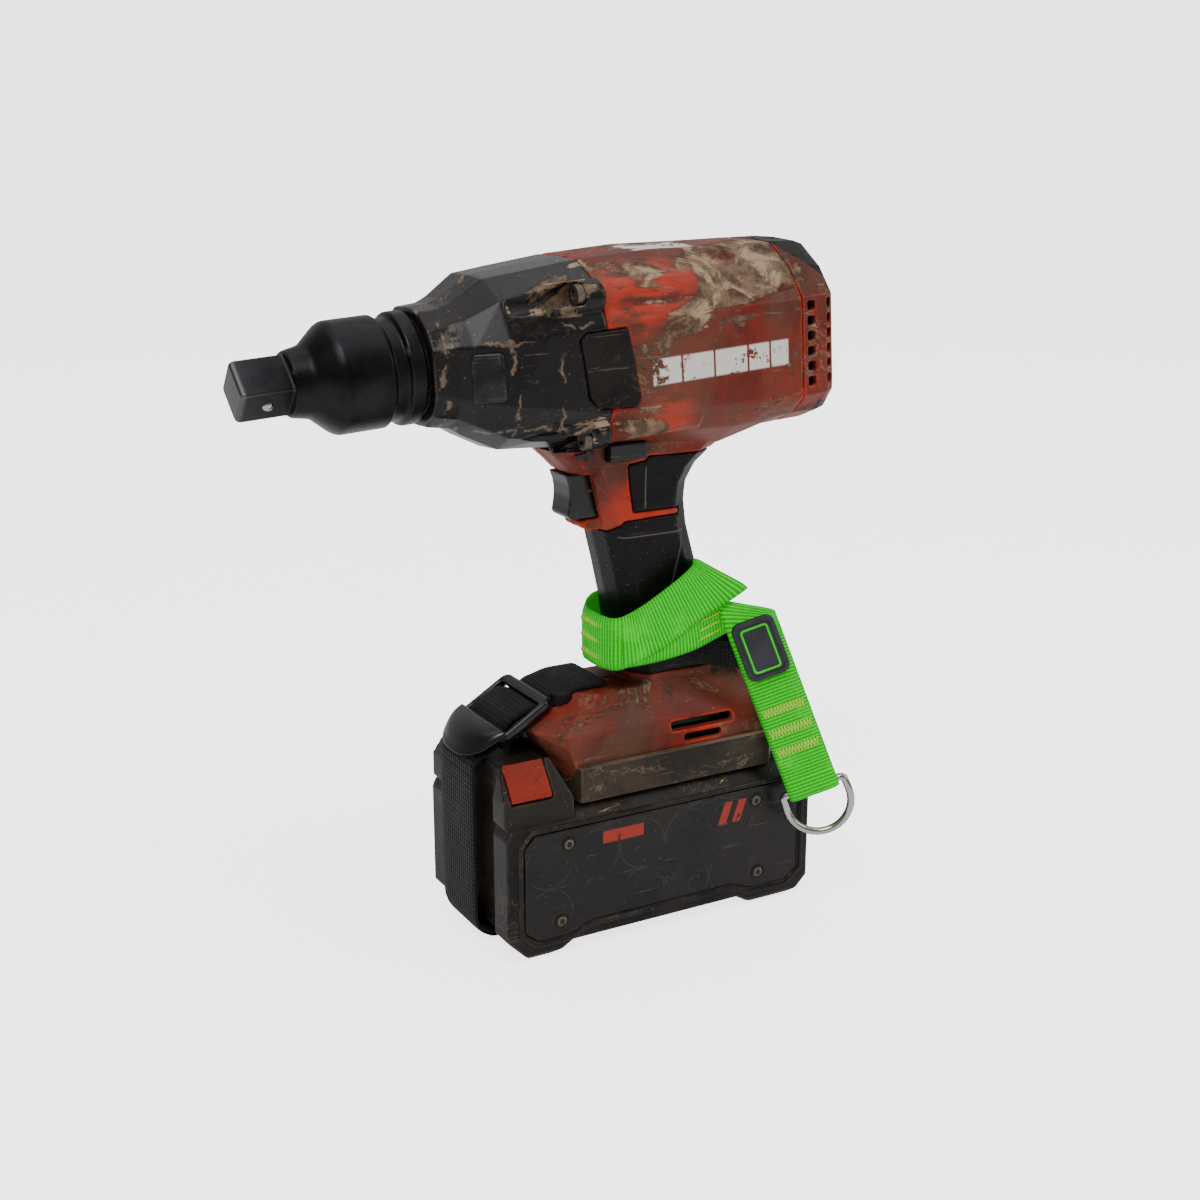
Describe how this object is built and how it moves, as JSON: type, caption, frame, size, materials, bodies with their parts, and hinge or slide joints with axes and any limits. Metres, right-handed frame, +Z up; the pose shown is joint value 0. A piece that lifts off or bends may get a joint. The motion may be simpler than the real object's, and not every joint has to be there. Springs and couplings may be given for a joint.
{
  "type": "cordless impact wrench",
  "caption": "Pistol-grip cordless impact wrench with a square drive adapter, a slide-on battery, a black battery strap and a green drop tether with a steel ring.",
  "frame": {"origin": "centre of the end face of the drive square", "axes": "+Z up with the tool standing on its battery, -X is the way the nose points, the drive axis dips 3.6 degrees towards the nose"},
  "size_m": [0.2865, 0.1086, 0.3227],
  "materials": {
    "housing_red": "worn glass-filled nylon",
    "guard_black": "black rubber-like boot with a worn sheen",
    "pad_rubber": "matt textured rubber",
    "black_plastic": "satin",
    "buckle_plastic": "moulded acetal",
    "battery_shell": "satin dark grey",
    "button_red": "satin red",
    "black_oxide": "black-oxided impact steel",
    "steel": "ground steel",
    "bright_ball": "polished",
    "ring_nickel": "nickel-plated wire",
    "case_aluminium": "die cast",
    "bush_bronze": "sintered bronze",
    "winding_copper": "steel laminations with copper windings",
    "contact_copper": "tinned copper alloy",
    "circuit_board": "glass epoxy board",
    "cell_wrap": "wrapped lithium cells",
    "lens_clear": "clear moulded lens",
    "web_green": "fluorescent green tubular webbing",
    "web_black": "woven black webbing",
    "patch_fabric": "plain dark woven patch"
  },
  "bodies": {
    "body": {"housing_left": "housing_red", "housing_right": "housing_red", "rear_cap": "housing_red", "front_guard": "guard_black", "pad_left": "pad_rubber", "pad_right": "pad_rubber", "guard_screw_1": "steel", "guard_screw_2": "steel", "guard_screw_3": "steel", "guard_screw_4": "steel", "hammer_case": "case_aluminium", "nose_bush": "bush_bronze", "ring_gear": "steel", "stator": "winding_copper", "rear_bearing": "steel", "front_bearing": "steel", "grip": "pad_rubber", "foot_rim_left": "black_plastic", "foot_rim_right": "black_plastic", "switch_module": "battery_shell", "controller": "circuit_board", "terminal_block": "battery_shell", "light_lens": "lens_clear", "buckle": "buckle_plastic", "strap_upper": "web_black", "strap_rear": "web_black", "strap_root": "web_black", "tether_loop": "web_green", "tether_tail": "web_green", "tether_patch": "patch_fabric"},
    "anvil_body": {"anvil": "steel", "drive_adapter": "black_oxide", "retaining_pin": "steel"},
    "ball_body": {"detent_ball": "bright_ball"},
    "spindle_body": {"spindle": "steel", "hammer_spring": "steel"},
    "hammer_body": {"hammer": "steel"},
    "planet_1_body": {"planet_1": "steel"},
    "planet_2_body": {"planet_2": "steel"},
    "planet_3_body": {"planet_3": "steel"},
    "rotor_body": {"rotor": "steel", "fan": "black_plastic"},
    "trigger_body": {"trigger": "black_plastic"},
    "direction_body": {"direction_switch": "black_plastic"},
    "key_body": {"mode_key": "black_plastic"},
    "battery": {"battery_case": "battery_shell", "battery_panel_left": "battery_shell", "battery_panel_right": "battery_shell", "cell_block": "cell_wrap", "battery_board": "circuit_board", "contacts": "contact_copper", "strap_battery": "web_black"},
    "release_left": {"release_button_left": "button_red"},
    "release_right": {"release_button_right": "button_red"},
    "ring_body": {"d_ring": "ring_nickel"}
  },
  "joints": [
    {"name": "anvil_spin", "type": "hinge", "parent": "body", "child": "anvil_body", "pos_m": [0.07645, 0, 0.00481], "axis": [0.998, 0, 0.0628], "continuous": true},
    {"name": "ball_press", "type": "slide", "parent": "anvil_body", "child": "ball_body", "axis": [-0.0444, 0.7071, 0.7057], "range_m": [0, 0.0015], "stiffness_N_per_m": 400},
    {"name": "spindle_spin", "type": "hinge", "parent": "body", "child": "spindle_body", "pos_m": [0.14631, 0, 0.00921], "axis": [0.998, 0, 0.0628], "continuous": true},
    {"name": "hammer_slide", "type": "slide", "parent": "spindle_body", "child": "hammer_body", "axis": [0.998, 0, 0.0628], "range_m": [0, 0.008], "stiffness_N_per_m": 3000, "springref_m": -0.004, "deforming": ["hammer_spring"]},
    {"name": "planet_1_spin", "type": "hinge", "parent": "spindle_body", "child": "planet_1_body", "pos_m": [0.16533, 0, 0.02543], "axis": [0.998, 0, 0.0628], "continuous": true},
    {"name": "planet_2_spin", "type": "hinge", "parent": "spindle_body", "child": "planet_2_body", "pos_m": [0.16674, -0.01299, 0.00298], "axis": [0.998, 0, 0.0628], "continuous": true},
    {"name": "planet_3_spin", "type": "hinge", "parent": "spindle_body", "child": "planet_3_body", "pos_m": [0.16674, 0.01299, 0.00298], "axis": [0.998, 0, 0.0628], "continuous": true},
    {"name": "rotor_spin", "type": "hinge", "parent": "body", "child": "rotor_body", "pos_m": [0.21617, 0, 0.0136], "axis": [0.998, 0, 0.0628], "continuous": true},
    {"name": "trigger_pull", "type": "slide", "parent": "body", "child": "trigger_body", "axis": [1, 0, 0], "range_m": [0, 0.008], "stiffness_N_per_m": 800, "springref_m": -0.003},
    {"name": "direction_slide", "type": "slide", "parent": "body", "child": "direction_body", "axis": [0, 1, 0], "range_m": [-0.003, 0.003]},
    {"name": "key_press", "type": "slide", "parent": "body", "child": "key_body", "axis": [0, 0, -1], "range_m": [0, 0.001], "stiffness_N_per_m": 900, "springref_m": -0.0005},
    {"name": "battery_slide", "type": "slide", "parent": "body", "child": "battery", "axis": [-1, 0, 0], "range_m": [0, 0.008]},
    {"name": "release_left_press", "type": "slide", "parent": "battery", "child": "release_left", "axis": [0, 1, 0], "range_m": [0, 0.0025], "stiffness_N_per_m": 300},
    {"name": "release_right_press", "type": "slide", "parent": "battery", "child": "release_right", "axis": [0, -1, 0], "range_m": [0, 0.0025], "stiffness_N_per_m": 300},
    {"name": "ring_swing", "type": "hinge", "parent": "body", "child": "ring_body", "pos_m": [0.26228, -0.05443, -0.20689], "axis": [-0.8218, 0.4428, -0.3585], "range_deg": [-20, 60]}
  ],
  "couplings": [
    {"joint": "spindle_spin", "follows": "anvil_spin", "ratio": 1},
    {"joint": "rotor_spin", "follows": "anvil_spin", "ratio": 5},
    {"joint": "planet_1_spin", "follows": "anvil_spin", "ratio": -2.6667},
    {"joint": "planet_2_spin", "follows": "anvil_spin", "ratio": -2.6667},
    {"joint": "planet_3_spin", "follows": "anvil_spin", "ratio": -2.6667}
  ]
}
